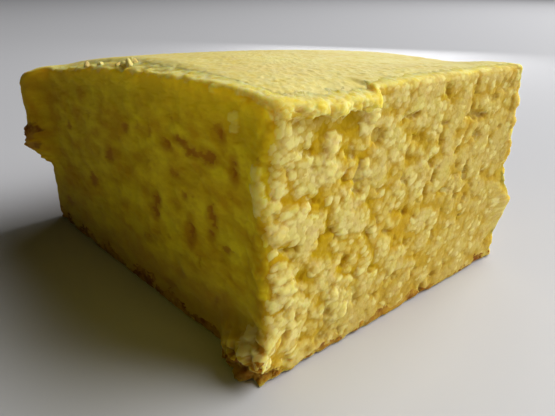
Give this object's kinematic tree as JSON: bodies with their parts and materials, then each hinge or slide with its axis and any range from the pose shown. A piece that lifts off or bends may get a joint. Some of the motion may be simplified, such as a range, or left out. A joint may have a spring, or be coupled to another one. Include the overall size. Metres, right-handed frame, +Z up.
{
  "type": "cornbread square",
  "caption": "Block of yellow cornbread with a low domed top, cut faces of open crumb, a thin browned base and a sloping face baked against the pan.",
  "frame": {"origin": "centre of the base of the bounding box", "axes": "+Z up, +Y from the front cut face towards the face baked against the pan, X along the front cut face"},
  "size_m": [0.0848, 0.0998, 0.0502],
  "materials": {
    "crumb": null
  },
  "bodies": {
    "root": {"cornbread": "crumb"}
  },
  "joints": []
}
